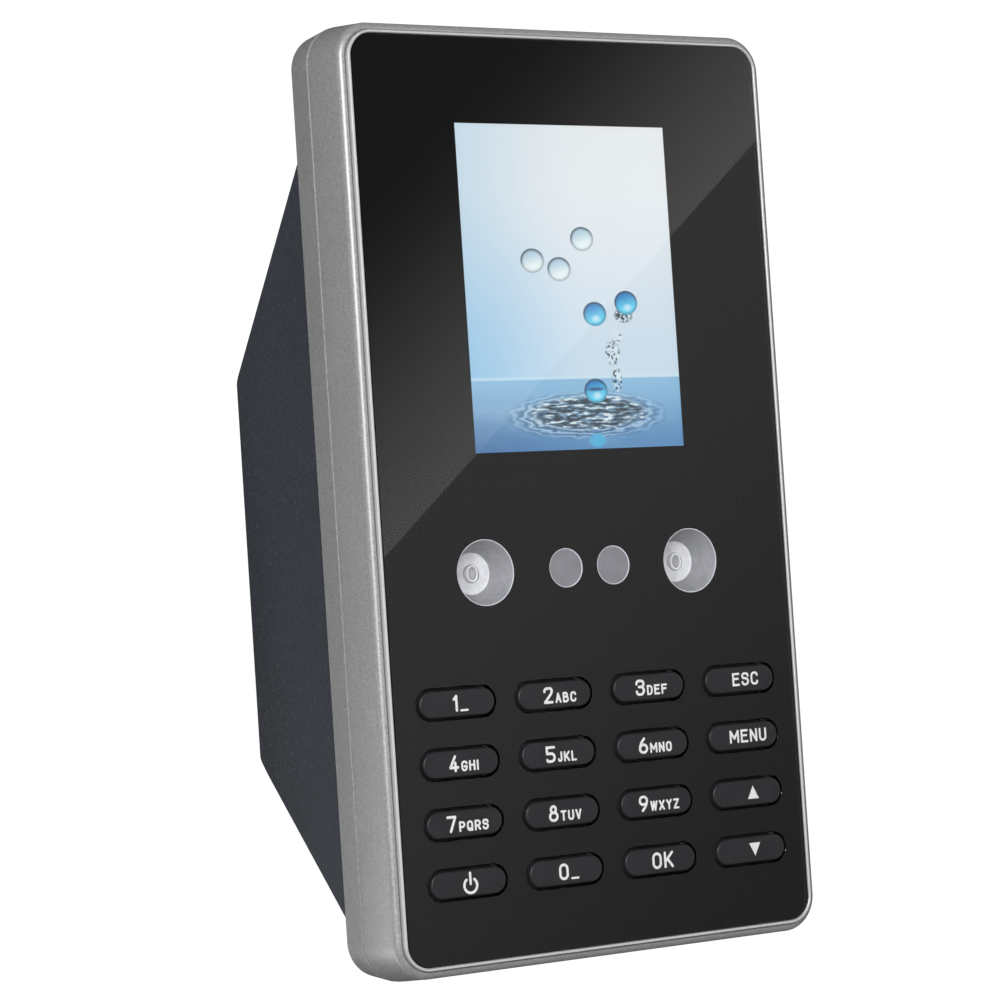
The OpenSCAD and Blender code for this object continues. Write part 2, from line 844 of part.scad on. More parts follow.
module wall_plate() {
    color("lightgray") at_panel() translate([0, 0, plate_z]) difference() {
        union() {
            slab(plate_w, plate_h, 3, plate_y, terminal_d);
            both_sides(hook_x)
                for (s = [-1, 1])
                    translate([0, 0, s * hook_z]) {
                        block([-3, recess_floor_y - wall_t - 0.5, 0], [3, plate_y + eps, hook_t]);
                        block([-3, recess_floor_y - wall_t - 1.7, 0],
                              [3, recess_floor_y - wall_t - 0.5, 2 * hook_t]);
                    }
            block([-tab_half_w, lock_y - 1.8, -plate_h / 2 - hook_t],
                  [tab_half_w, terminal_d, -plate_h / 2]);
        }
        both_sides(screw_span_x / 2)
            for (s = [-1, 1])
                translate([0, 0, s * screw_span_z / 2]) rod_y(screw_hole_r, plate_y - 1, terminal_d + 1);
        translate([0, lock_y, -plate_h / 2 - 3]) cylinder(r = 1.5, h = 6);
    }
}

module lock_screw() {
    color("silver") at_panel() translate([0, lock_y, 0]) difference() {
        union() {
            translate([0, 0, lock_head_z - 1.6]) cylinder(r = 2.6, h = 1.6);
            translate([0, 0, lock_head_z - 0.1]) cylinder(r = 1.46, h = plate_bottom_z + 0.4 - lock_head_z);
        }
        translate([0, 0, lock_head_z - 2]) cylinder(r = 1.1, h = 1.2, $fn = 6);
    }
}

module rating_label() {
    slope_run = back_y - 0.8 - frame_y;
    slope_rise = slope_top_z - back_top_z;
    angle = atan2(slope_run, slope_rise);
    color("white") at_panel() translate([0, frame_y + slope_run * 0.45, slope_top_z - slope_rise * 0.45])
        rotate([angle, 0, 0]) block([-22, 0, -9], [22, 0.15, 9]);
}

front_bezel();
rear_frame();
seal_ring();
front_panel();
panel_mask();
display_gasket();
display_glass();
display_frame();
display_bracket();
display_ribbon();
reflector_left();
reflector_right();
lamp_left();
lamp_right();
camera_window_left();
camera_window_right();
camera_left();
camera_right();
sensor_board();
sensor_ribbon();
keypad_mat();
keypad_board();
contact_pads();
keypad_ribbon();
main_board();
processor();
memory_chips();
ribbon_connectors();
lock_relay();
cell_holder();
backup_cell();
capacitors();
speaker();
power_jack();
usb_socket();
network_socket();
terminal_block();
back_housing();
housing_screws();
board_screws();
wall_plate();
lock_screw();
rating_label();
for (i = [0 : len(KEYS) - 1])
    key(i);
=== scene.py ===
import json
import math

import bmesh
import bpy
import numpy as np
from mathutils import Matrix, Vector
from mathutils.geometry import delaunay_2d_cdt


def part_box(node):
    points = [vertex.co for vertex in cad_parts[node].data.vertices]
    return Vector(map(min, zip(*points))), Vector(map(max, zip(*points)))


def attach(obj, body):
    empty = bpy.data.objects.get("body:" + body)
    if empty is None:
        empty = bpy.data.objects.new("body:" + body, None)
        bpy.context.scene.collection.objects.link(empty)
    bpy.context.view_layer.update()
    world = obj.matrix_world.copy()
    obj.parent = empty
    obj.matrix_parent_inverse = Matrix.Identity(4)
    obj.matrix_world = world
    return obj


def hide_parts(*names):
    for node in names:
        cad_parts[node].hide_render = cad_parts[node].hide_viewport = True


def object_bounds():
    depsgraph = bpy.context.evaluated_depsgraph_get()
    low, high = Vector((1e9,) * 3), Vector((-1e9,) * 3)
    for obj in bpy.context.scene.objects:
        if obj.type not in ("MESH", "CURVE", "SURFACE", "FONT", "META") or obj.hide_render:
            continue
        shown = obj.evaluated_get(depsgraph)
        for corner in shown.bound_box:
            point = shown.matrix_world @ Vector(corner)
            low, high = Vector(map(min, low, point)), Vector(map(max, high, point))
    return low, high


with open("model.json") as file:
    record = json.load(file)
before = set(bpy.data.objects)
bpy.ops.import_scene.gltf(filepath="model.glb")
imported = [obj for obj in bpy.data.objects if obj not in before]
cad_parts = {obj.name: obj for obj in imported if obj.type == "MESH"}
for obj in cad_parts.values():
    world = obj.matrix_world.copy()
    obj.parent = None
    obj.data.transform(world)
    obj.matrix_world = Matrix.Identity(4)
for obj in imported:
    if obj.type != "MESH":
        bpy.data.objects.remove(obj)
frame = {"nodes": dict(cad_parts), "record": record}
cad_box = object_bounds()

MM = 0.001
PANEL_LOW, PANEL_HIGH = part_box("front_panel")
LIP_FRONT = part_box("front_bezel")[0].y
PANEL_MID_Z = (PANEL_LOW.z + PANEL_HIGH.z) / 2


# Lengths in this script are in mm and depths are measured back from the front of the silver lip.

def at(x, y, z):
    """A place in the row frame, from mm right of the panel's centre, behind the lip and above the centre."""
    return Vector((x * MM, LIP_FRONT + y * MM, PANEL_MID_Z + z * MM))


def place(node):
    """A CAD node's lowest and highest corner, in the same mm as at()."""
    return [(p.x / MM, (p.y - LIP_FRONT) / MM, (p.z - PANEL_MID_Z) / MM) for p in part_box(node)]


def middle(node):
    low, high = place(node)
    return [(a + b) / 2 for a, b in zip(low, high)]


# ---------------------------------------------------------------- shapes

def rounded(w, h, r, grow=0.0, steps=14):
    """Outline of a rectangle with rounded corners, as (x, z)."""
    w, h, r = w + 2 * grow, h + 2 * grow, r + grow
    points = []
    for corner, (sx, sz) in enumerate(((1, 1), (-1, 1), (-1, -1), (1, -1))):
        for i in range(steps + 1):
            a = math.radians(90 * (corner + i / steps))
            points.append((sx * (w / 2 - r) + r * math.cos(a), sz * (h / 2 - r) + r * math.sin(a)))
    return points


def pill(w, h, grow=0.0, steps=24):
    w, h = w + 2 * grow, h + 2 * grow
    points = []
    for side in (0, 1):
        for i in range(steps + 1):
            a = math.pi * (side + i / steps) - math.pi / 2
            points.append(((1 - 2 * side) * (w - h) / 2 + h / 2 * math.cos(a), h / 2 * math.sin(a)))
    return points


def circle(r, steps=96):
    turns = [2 * math.pi * i / steps for i in range(steps)]
    return [(r * math.cos(a), r * math.sin(a)) for a in turns]


def arc(centre, r, start, end, steps):
    """Points (u, v) on part of a circle, angles in degrees."""
    for i in range(steps + 1):
        a = math.radians(start + (end - start) * i / steps)
        yield centre[0] + r * math.cos(a), centre[1] + r * math.sin(a)


def inside(points, outline):
    """Which of the points lie in a closed outline."""
    x, z = points[:, 0], points[:, 1]
    found = np.zeros(len(points), bool)
    for (x0, z0), (x1, z1) in zip(outline, outline[1:] + outline[:1]):
        crosses = (z0 > z) != (z1 > z)
        if z0 != z1:
            found ^= crosses & (x < (x1 - x0) * (z - z0) / (z1 - z0) + x0)
    return found


class Shape:
    """Points in mm and faces of one piece; each face has the number of its material."""

    def __init__(self):
        self.points, self.faces, self.kinds = [], [], []

    def loop(self, outline, y, x=0.0, z=0.0):
        first = len(self.points)
        self.points += [(px + x, y, pz + z) for px, pz in outline]
        return list(range(first, len(self.points)))

    def face(self, corners, kind=0):
        self.faces.append(list(corners))
        self.kinds.append(kind)

    def skin(self, loops, kind=0, closed=False):
        """Faces between each loop and the next one."""
        for a, b in zip(loops, loops[1:] + (loops[:1] if closed else [])):
            for i in range(len(a)):
                j = (i + 1) % len(a)
                self.face((a[i], a[j], b[j], b[i]), kind)

    def plate(self, outer, holes=(), windows=(), kind=0, window_kind=1):
        """Flat triangles inside outer and outside the holes, which show window_kind inside the windows."""
        loops = [outer, *holes, *windows]
        used = [i for loop in loops for i in loop]
        flat = [(self.points[i][0], self.points[i][2]) for i in used]
        edges, first = [], 0
        for loop in loops:
            n = len(loop)
            edges += [(first + i, first + (i + 1) % n) for i in range(n)]
            first += n
        made = delaunay_2d_cdt([Vector(p) for p in flat], edges, [], 0, 1e-7)
        source = [origin[0] for origin in made[3]]
        triangles = [[source[i] for i in tri] for tri in made[2]]
        centres = np.array([np.mean([flat[i] for i in tri], axis=0) for tri in triangles])

        def within(loop):
            return inside(centres, [(self.points[i][0], self.points[i][2]) for i in loop])

        keep = within(outer)
        for hole in holes:
            keep &= ~within(hole)
        shown = np.zeros(len(triangles), bool)
        for window in windows:
            shown |= within(window)
        for tri, kept, window in zip(triangles, keep, shown):
            if kept:
                self.face([used[i] for i in tri], window_kind if window else kind)

    def lathe(self, profile, x=0.0, z=0.0, steps=96, kind=0, closed=False, cap_start=False, cap_end=False):
        """Turns a profile of (radius, depth) round an axis along the depth."""
        loops = [self.loop(circle(r, steps), y, x, z) for r, y in profile]
        self.skin(loops, kind, closed)
        if cap_start:
            self.face(loops[0], kind)
        if cap_end:
            self.face(loops[-1], kind)
        return loops


def make(name, shape, materials, body="terminal", replaces=(), crease=32.0):
    """Turns a shape into an object with smooth faces and sharp creases, which rides on a body."""
    bm = bmesh.new()
    points = [bm.verts.new(at(*p)) for p in shape.points]
    for corners, kind in zip(shape.faces, shape.kinds):
        face = bm.faces.new([points[i] for i in corners])
        face.material_index = kind
    bmesh.ops.remove_doubles(bm, verts=bm.verts, dist=1e-7)
    bmesh.ops.recalc_face_normals(bm, faces=bm.faces)
    for face in bm.faces:
        face.smooth = True
    for edge in bm.edges:
        edge.smooth = len(edge.link_faces) == 2 and edge.calc_face_angle() < math.radians(crease)
    mesh = bpy.data.meshes.new(name)
    bm.to_mesh(mesh)
    bm.free()
    for material in materials:
        mesh.materials.append(material)
    piece = bpy.data.objects.new(name, mesh)
    bpy.context.scene.collection.objects.link(piece)
    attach(piece, body)
    if replaces:
        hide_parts(*replaces)
    return piece


def soften(piece, width, angle=40.0, segments=3):
    """Rounds a piece's sharp edges."""
    bevel = piece.modifiers.new("soft_edges", "BEVEL")
    bevel.width = width * MM
    bevel.segments = segments
    bevel.limit_method = "ANGLE"
    bevel.angle_limit = math.radians(angle)
    bevel.harden_normals = True


# ---------------------------------------------------------------- materials

class Num:
    """A number in a node tree, so that formulas can be written out."""

    def __init__(self, graph, socket):
        self.graph, self.socket = graph, socket

    def _do(self, operation, *others):
        return self.graph.math(operation, self, *others)

    def __add__(self, other):
        return self._do("ADD", other)

    def __sub__(self, other):
        return self._do("SUBTRACT", other)

    def __mul__(self, other):
        return self._do("MULTIPLY", other)

    def __truediv__(self, other):
        return self._do("DIVIDE", other)

    __radd__ = __add__
    __rmul__ = __mul__

    def __rsub__(self, other):
        return self.graph.math("SUBTRACT", other, self)


class Graph:
    """A material's node tree, built with short calls."""

    def __init__(self, name):
        self.material = bpy.data.materials.new(name)
        self.material.use_nodes = True
        self.tree = self.material.node_tree
        self.shader = self.tree.nodes["Principled BSDF"]
        self.output = self.tree.nodes["Material Output"]
        self.coordinates = None

    def put(self, socket, value):
        if isinstance(value, Num):
            self.tree.links.new(value.socket, socket)
        elif isinstance(value, bpy.types.NodeSocket):
            self.tree.links.new(value, socket)
        elif isinstance(value, tuple) and len(value) == 3 and len(socket.default_value) == 4:
            socket.default_value = (*value, 1.0)
        else:
            socket.default_value = value

    def node(self, kind, inputs=None, **settings):
        node = self.tree.nodes.new(kind)
        for key, value in settings.items():
            setattr(node, key, value)
        for key, value in (inputs or {}).items():
            self.put(node.inputs[key], value)
        return node

    def math(self, operation, *values):
        return Num(self, self.node("ShaderNodeMath", dict(enumerate(values)), operation=operation).outputs[0])

    def ramp(self, value, start, end, low=0.0, high=1.0):
        """A smooth change from low to high as the value goes from start to end."""
        node = self.node(
            "ShaderNodeMapRange",
            {"Value": value, "From Min": start, "From Max": end, "To Min": low, "To Max": high},
            interpolation_type="SMOOTHSTEP",
        )
        return Num(self, node.outputs["Result"])

    def mix(self, factor, a, b):
        node = self.node("ShaderNodeMix", data_type="RGBA")
        self.put(node.inputs["Factor"], factor)
        self.put(node.inputs[6], a)
        self.put(node.inputs[7], b)
        return node.outputs[2]

    def place(self):
        """Where a point of the surface is, in the row frame."""
        if self.coordinates is None:
            self.coordinates = self.node("ShaderNodeTexCoord").outputs["Object"]
        return self.coordinates

    def stretched(self, x, y, z):
        return self.node("ShaderNodeMapping", {"Vector": self.place(), "Scale": (x, y, z)}).outputs["Vector"]

    def noise(self, grain, detail=3.0, where=None):
        """Soft noise whose spots are about grain mm across."""
        inputs = {"Vector": where or self.place(), "Scale": 1 / (grain * MM), "Detail": detail}
        return Num(self, self.node("ShaderNodeTexNoise", inputs).outputs["Fac"])

    def flakes(self, grain):
        """A random number for each small cell."""
        cells = self.node("ShaderNodeTexVoronoi", {"Vector": self.place(), "Scale": 1 / (grain * MM)})
        split = self.node("ShaderNodeSeparateColor", {"Color": cells.outputs["Color"]})
        return Num(self, split.outputs["Red"])

    def edges(self, start, end):
        """How much a point lies on an outside edge; the materials paint a highlight there."""
        return self.ramp(Num(self, self.node("ShaderNodeNewGeometry").outputs["Pointiness"]), start, end)

    def bump(self, height, depth, strength=1.0):
        node = self.node("ShaderNodeBump", {"Height": height, "Distance": depth * MM, "Strength": strength})
        self.put(self.shader.inputs["Normal"], node.outputs["Normal"])

    def finish(self, **values):
        for name, value in values.items():
            self.put(self.shader.inputs[name.replace("_", " ")], value)
        return self.material


def screen(r, g, b):
    """A colour named by how it looks on a screen, from 0 to 255."""
    return tuple((c / 255 / 12.92) if c < 10 else ((c / 255 + 0.055) / 1.055) ** 2.4 for c in (r, g, b))


def shade(color, factor):
    return tuple(c * factor for c in color)


def silver_paint(name, dark, light, metal, rough):
    """Silver paint with fine flakes, and a painted highlight that makes its edges lighter."""
    g = Graph(name)
    flake = g.flakes(0.2)
    tone = g.mix(flake, (dark, dark, dark * 1.01), (light, light, light * 1.015))
    tone = g.mix(g.ramp(g.noise(14), 0.35, 0.65, 0.0, 0.15), tone, (dark, dark, dark * 1.02))
    # painted highlight: the edges are made lighter, standing in for light caught on them
    tone = g.mix(g.edges(0.52, 0.6) * 0.3, tone, (light * 1.3, light * 1.3, light * 1.31))
    g.bump(g.noise(0.25, 2.0), 0.012, 0.5)
    return g.finish(Base_Color=tone, Metallic=metal, Roughness=g.ramp(flake, 0, 1, rough, rough + 0.14))


def dark_housing():
    g = Graph("dark_housing")
    grain = g.noise(0.35, 4.0)
    spark = g.flakes(0.3)
    tone = g.mix(g.ramp(g.noise(25), 0.35, 0.65), (0.010, 0.012, 0.016), (0.014, 0.016, 0.0205))
    tone = g.mix(g.ramp(spark, 0.9, 0.97, 0.0, 0.5), tone, (0.08, 0.09, 0.10))
    # painted highlight: the edges are made lighter, standing in for light caught on them
    tone = g.mix(g.edges(0.53, 0.62) * 0.4, tone, (0.07, 0.08, 0.1))
    g.bump(grain, 0.06, 0.8)
    return g.finish(Base_Color=tone, Roughness=g.ramp(grain, 0.3, 0.7, 0.42, 0.62), Specular_IOR_Level=0.3)


def satin_plastic(name, color, grain=0.3, rough=(0.38, 0.52), bump=0.015, edge_highlight_gain=1.6):
    """Moulded plastic with a fine grain, and a painted highlight that makes its edges lighter."""
    g = Graph(name)
    fine = g.noise(grain, 3.0)
    tone = g.mix(g.ramp(g.noise(6), 0.35, 0.65), shade(color, 0.9), shade(color, 1.12))
    # painted highlight: the edges are made lighter by edge_highlight_gain, standing in for light caught on
    # them
    tone = g.mix(g.edges(0.52, 0.6) * 0.6, tone, shade(color, edge_highlight_gain))
    g.bump(fine, bump, 0.7)
    return g.finish(Base_Color=tone, Roughness=g.ramp(fine, 0.3, 0.7, *rough))


def steel(name, color, brushed=None, rough=(0.22, 0.4)):
    """Bare or plated metal, with fine brush lines or a crystalline zinc mottle, and a painted highlight on
    its edges.
    """
    g = Graph(name)
    where = g.stretched(*brushed) if brushed else None
    lines = g.noise(0.25, 4.0, where)
    mottle = g.flakes(1.6)
    tone = g.mix(g.ramp(mottle, 0, 1, 0.0, 0.5), color, shade(color, 0.78))
    # painted highlight: the edges are made lighter, standing in for light caught on them
    tone = g.mix(g.edges(0.52, 0.6) * 0.5, tone, shade(color, 1.2))
    g.bump(lines, 0.012, 0.5)
    return g.finish(Base_Color=tone, Metallic=1.0, Roughness=g.ramp(lines, 0.3, 0.7, *rough))


def circuit_board():
    g = Graph("circuit_board")
    x, _, z = axes(g)
    tracks = g.ramp(g.math("SINE", (x + z * 0.5) * 5.0) * g.ramp(g.noise(9), 0.45, 0.55), 0.6, 0.75)
    tone = g.mix(tracks, (0.01, 0.10, 0.035), (0.02, 0.2, 0.07))
    g.bump(tracks, 0.03, 0.5)
    return g.finish(Base_Color=tone, Roughness=g.ramp(g.noise(0.8), 0.3, 0.7, 0.25, 0.4))


def black_print():
    g = Graph("black_print")
    tone = g.mix(g.noise(30), (0.0018, 0.0018, 0.002), (0.003, 0.003, 0.0034))
    rough = g.ramp(g.noise(0.5), 0.3, 0.7, 0.5, 0.65)
    return g.finish(Base_Color=tone, Roughness=rough, Specular_IOR_Level=0.1)


def clear_acrylic():
    """Clear panel with faint smudges, which lets lamps through."""
    g = Graph("clear_acrylic")
    g.finish(
        Base_Color=(0.97, 0.975, 0.98), Roughness=g.ramp(g.noise(18), 0.4, 0.7, 0.0, 0.02),
        IOR=1.49, Transmission_Weight=1.0,
    )
    ray = g.node("ShaderNodeLightPath").outputs["Is Shadow Ray"]
    open_way = g.node("ShaderNodeBsdfTransparent", {"Color": (0.95, 0.955, 0.96)})
    both = g.node("ShaderNodeMixShader")
    g.put(both.inputs[0], ray)
    g.put(both.inputs[1], g.shader.outputs[0])
    g.put(both.inputs[2], open_way.outputs[0])
    g.put(g.output.inputs["Surface"], both.outputs[0])
    return g.material


def axes(g):
    """The place of a point as three numbers, in the same mm as at()."""
    split = g.node("ShaderNodeSeparateXYZ", {"Vector": g.place()})
    x, y, z = (Num(g, split.outputs[i]) for i in range(3))
    return x / MM, (y - LIP_FRONT) / MM, (z - PANEL_MID_Z) / MM


def water_picture():
    """The picture on the display: drops that fall on calm blue water, all from formulas."""
    g = Graph("water_picture")
    x, _, z = axes(g)
    x, z = x - 0.5, z - middle("display_glass")[2]
    horizon = -16.0
    left = g.ramp(x, 4, -27)
    low = g.ramp(z, 20, horizon)
    sky = g.mix(left, screen(233, 238, 241), screen(200, 223, 237))
    sky = g.mix(low * (left * 0.55 + 0.42), sky, screen(146, 198, 232))
    deep = g.mix(left, screen(76, 134, 184), screen(46, 104, 160))
    water = g.mix(g.ramp(z, horizon + 1, -29), screen(138, 188, 223), deep)
    swell = g.noise(5, 3.0, g.stretched(0.25, 1, 2))
    water = g.mix(g.ramp(swell, 0.45, 0.75, 0.0, 0.2), water, screen(176, 211, 232))
    picture = g.mix(g.ramp(z, horizon + 0.15, horizon - 0.15), sky, water)
    line = g.ramp(g.math("ABSOLUTE", z - horizon - 0.25), 0.4, 0.1, 0.0, 0.55)
    picture = g.mix(line, picture, screen(205, 232, 244))

    def ellipse(cx, cz, a, b):
        u, v = (x - cx) / a, (z - cz) / b
        return g.math("SQRT", u * u + v * v)

    # Rings that spread from the splash, and the broken water in its middle
    wobble = g.noise(1.4, 4.0, g.stretched(0.45, 1, 1.5))
    rings = ellipse(1.4, -22.4, 14.0, 3.6)
    wave = g.math("SINE", rings * 34.0 + wobble * 16.0)
    fade = g.ramp(rings, 1.35, 0.7) * g.ramp(rings, 0.15, 0.5)
    picture = g.mix(g.ramp(wave, 0.2, 1.0) * fade * 0.7, picture, screen(205, 228, 240))
    picture = g.mix(g.ramp(wave, -0.1, -0.9) * fade * 0.85, picture, screen(44, 76, 108))
    broken = g.noise(0.62, 7.0, g.stretched(0.26, 1, 1.3))
    core = g.ramp(ellipse(2.2, -22.0, 12.5, 3.1) + broken * 0.5, 1.3, 1.05)
    picture = g.mix(core * 0.55, picture, screen(70, 106, 128))
    picture = g.mix(g.ramp(broken, 0.50, 0.55) * core, picture, screen(24, 46, 58))
    picture = g.mix(g.ramp(broken, 0.45, 0.39) * core, picture, screen(222, 236, 240))

    # Broken water thrown up over the splash, and the trail under the upper blue drop
    speck = g.noise(0.5, 5.0)
    upper_clouds = ((7.6, -11.6, 1.8, 2.6, 0.5), (10.4, -5.0, 2.3, 1.6, 0.45))
    lower_clouds = ((8.9, -8.8, 1.2, 1.2, 0.56), (8.2, -16.4, 1.3, 2.6, 0.54))
    for cx, cz, a, b, start in upper_clouds + lower_clouds:
        cloud = g.ramp(ellipse(cx, cz, a, b), 1.0, 0.6)
        light_specks = g.ramp(speck, start - 0.06, start - 0.1) * cloud * 0.6
        picture = g.mix(light_specks, picture, screen(228, 240, 244))
        picture = g.mix(g.ramp(speck, start, start + 0.04) * cloud, picture, screen(38, 62, 76))

    def drop(picture, cx, cz, r, rim, upper, lower):
        far = ellipse(cx, cz, r, r * 0.88)
        across = g.ramp(z - cz + (x - cx) * -0.25, -0.6 * r, 0.75 * r)
        body = g.mix(across, lower, upper)
        body = g.mix(g.ramp(far, 0.66, 1.0) * g.ramp(across, 0.0, 1.0, 0.55, 1.0), body, rim)
        glint = g.ramp(ellipse(cx + 0.1 * r, cz - 0.35 * r, 0.5 * r, 0.36 * r), 1.0, 0.2, 0.0, 0.55)
        body = g.mix(glint, body, screen(240, 248, 250))
        return g.mix(g.ramp(far, 1.03, 0.97), picture, body)

    clear = (screen(24, 66, 84), screen(176, 206, 222), screen(232, 246, 248))
    blue = (screen(0, 46, 84), screen(0, 126, 196), screen(96, 214, 246))
    for cx, cz in ((-7.8, 4.7), (-2.4, 3.2), (2.7, 8.5)):
        picture = drop(picture, cx, cz, 2.42, *clear)
    for cx, cz in ((4.4, -4.7), (11.1, -2.8)):
        picture = drop(picture, cx, cz, 2.42, *blue)
    # The drop that floats on the water, with a dark band, and its mirror image
    picture = g.mix(g.ramp(ellipse(3.3, -26.9, 2.1, 1.5), 1.0, 0.6, 0.0, 0.8), picture, screen(60, 180, 222))
    picture = drop(picture, 3.6, -18.2, 2.42, *blue)
    band = g.ramp(ellipse(3.6, -17.9, 2.3, 0.42), 1.0, 0.5, 0.0, 0.85)
    picture = g.mix(band, picture, screen(8, 70, 120))
    return g.finish(
        Base_Color=(0.02, 0.02, 0.02), Roughness=0.35, Emission_Color=picture, Emission_Strength=0.98,
    )


def frosted(name, dark, light, grain=1.2, rough=0.45):
    """Milky plastic or glass lit from all sides."""
    g = Graph(name)
    tone = g.mix(g.ramp(g.noise(grain), 0.3, 0.7), dark, light)
    g.bump(g.noise(0.4), 0.01, 0.4)
    return g.finish(Base_Color=tone, Roughness=rough)


def label_film():
    """Silver label film with no text."""
    g = Graph("label_film")
    tone = g.mix(g.noise(4), (0.62, 0.62, 0.62), (0.72, 0.72, 0.72))
    g.bump(g.noise(0.6), 0.01, 0.5)
    return g.finish(Base_Color=tone, Metallic=0.3, Roughness=g.ramp(g.noise(0.8), 0.3, 0.7, 0.3, 0.45))


LEGEND_WHITE = frosted("legend_white", (0.80, 0.80, 0.80), (0.92, 0.92, 0.92), 0.5, 0.5)
SILVER = silver_paint("silver_paint", 0.33, 0.49, 0.35, 0.34)
# painted shade: the rear band's silver paint is rougher, and darker to stand in for the shade on a band that
# faces backwards
REAR_SILVER_SHADED = silver_paint("rear_silver_paint_shaded", 0.27, 0.42, 0.35, 0.4)
# painted light: the lip is the bezel's own silver paint, made lighter to stand in for the light on its
# front-facing face
LIP_SILVER_PAINTED_LIGHT = silver_paint("lip_paint_painted_light", 0.58, 0.72, 0.3, 0.34)
KEY_PLASTIC = satin_plastic("key_plastic", (0.0155, 0.016, 0.019), 0.35, (0.36, 0.5), 0.02, 1.3)
CLEAR = clear_acrylic()
PRINT = black_print()
# painted shade: the reflector's walls are made darker than its white floor, standing in for the shade inside
# the cup
CONE_PAINTED_SHADE = frosted("reflector_cone_painted_shade", (0.175, 0.175, 0.19), (0.21, 0.21, 0.225))
CUP_FLOOR = frosted("reflector_floor", (0.50, 0.50, 0.525), (0.58, 0.58, 0.60))
LAMP_RING = frosted("lamp_ring", (0.66, 0.66, 0.68), (0.74, 0.74, 0.75), 0.8, 0.3)
WINDOW_RIM = frosted("window_rim", (0.42, 0.42, 0.45), (0.49, 0.49, 0.52), 0.4)
STEEL_BRIGHT = steel("bright_steel", (0.72, 0.72, 0.73), brushed=(1, 1, 0.06))
STEEL_ZINC = steel("zinc_steel", (0.58, 0.59, 0.60))

FINISHES = {
    "silver_paint": SILVER,
    "clear_acrylic": CLEAR,
    "black_print": PRINT,
    "black_foam": satin_plastic("black_foam", (0.02, 0.02, 0.02), 0.6, (0.8, 0.95), 0.08, 1.1),
    "black_rubber": satin_plastic("black_rubber", (0.028, 0.028, 0.028), 0.5, (0.6, 0.8), 0.03, 1.3),
    "display_picture": water_picture(),
    "bright_steel": STEEL_BRIGHT,
    "zinc_steel": STEEL_ZINC,
    "flex_film": satin_plastic("flex_film", (0.42, 0.2, 0.04), 0.5, (0.25, 0.35), 0.01, 1.2),
    "white_reflector": CUP_FLOOR,
    "lamp_lens": frosted("lamp_lens", (0.26, 0.26, 0.28), (0.34, 0.34, 0.36), 0.8, 0.2),
    "grey_filter": frosted("grey_filter", (0.133, 0.133, 0.147), (0.16, 0.16, 0.175), 2.5, 0.4),
    "black_plastic": satin_plastic("black_plastic", (0.02, 0.02, 0.022)),
    "green_board": circuit_board(),
    "grey_silicone": satin_plastic("grey_silicone", (0.42, 0.42, 0.43), 0.6, (0.6, 0.75), 0.02, 1.1),
    "gold_plate": steel("gold_plate", (0.9, 0.62, 0.25), rough=(0.2, 0.3)),
    "ivory_plastic": satin_plastic("ivory_plastic", (0.68, 0.62, 0.48), 0.4, (0.4, 0.5), 0.01, 1.1),
    "blue_plastic": satin_plastic("blue_plastic", (0.02, 0.08, 0.35), 0.4, (0.3, 0.42), 0.01, 1.3),
    "capacitor_sleeve": satin_plastic("capacitor_sleeve", (0.02, 0.03, 0.09), 0.6, (0.2, 0.3), 0.005, 1.3),
    "speaker_black": satin_plastic("speaker_black", (0.012, 0.012, 0.012), 0.4, (0.6, 0.8), 0.03, 1.2),
    "green_plastic": satin_plastic("green_plastic", (0.03, 0.27, 0.08), 0.4, (0.35, 0.48), 0.015, 1.3),
    "dark_housing": dark_housing(),
    "label_film": label_film(),
    "key_black": KEY_PLASTIC,
}


def dress_cad_nodes():
    """Gives every CAD node its slot's material."""
    for part in frame["record"]["subparts"]:
        node = frame["nodes"][part["node"]]
        node.data.materials.clear()
        node.data.materials.append(FINISHES[part["material_slot"]])


# ---------------------------------------------------------------- silver frame

LIP_W, LIP_H, LIP_R = 84.1, 158.5, 4.75
SEAM_W, SEAM_H, SEAM_R = 88.8, 163.2, 6.95
FLOOR_FRONT = place("panel_mask")[1][1]
FLOOR_BACK = FLOOR_FRONT + 1.45
HOLE_W, HOLE_H = 15.6, 5.4
GLASS = place("display_glass")
LAMPS = [middle("lamp_left"), middle("lamp_right")]
CAMERAS = [middle("camera_window_left"), middle("camera_window_right")]
LAMP_WINDOW_R, CAMERA_WINDOW_R = 5.7, 3.4
PANEL_R = 4.2
# How much wider and higher the display glass is than its picture
GLASS_MARGIN_W, GLASS_MARGIN_H = 3.6, 5.2
CAMERA_OPENING_W, CAMERA_OPENING_H, CAMERA_OPENING_R = 19.7, 9.2, 2
KEYS = [name for name in frame["nodes"] if name.startswith("key_")]
KEY_MIDDLES = {name: middle(name) for name in KEYS}


def swept(shape, w, h, r, profile, kinds=None, closed=True):
    """Carries a profile of (offset outwards, depth) round a rectangle with rounded corners."""
    loops = [shape.loop(rounded(w, h, r, offset, 20), y) for offset, y in profile]
    pairs = list(zip(loops, loops[1:] + (loops[:1] if closed else [])))
    for number, pair in enumerate(pairs):
        shape.skin(list(pair), kinds(number) if kinds else 0)
    return loops


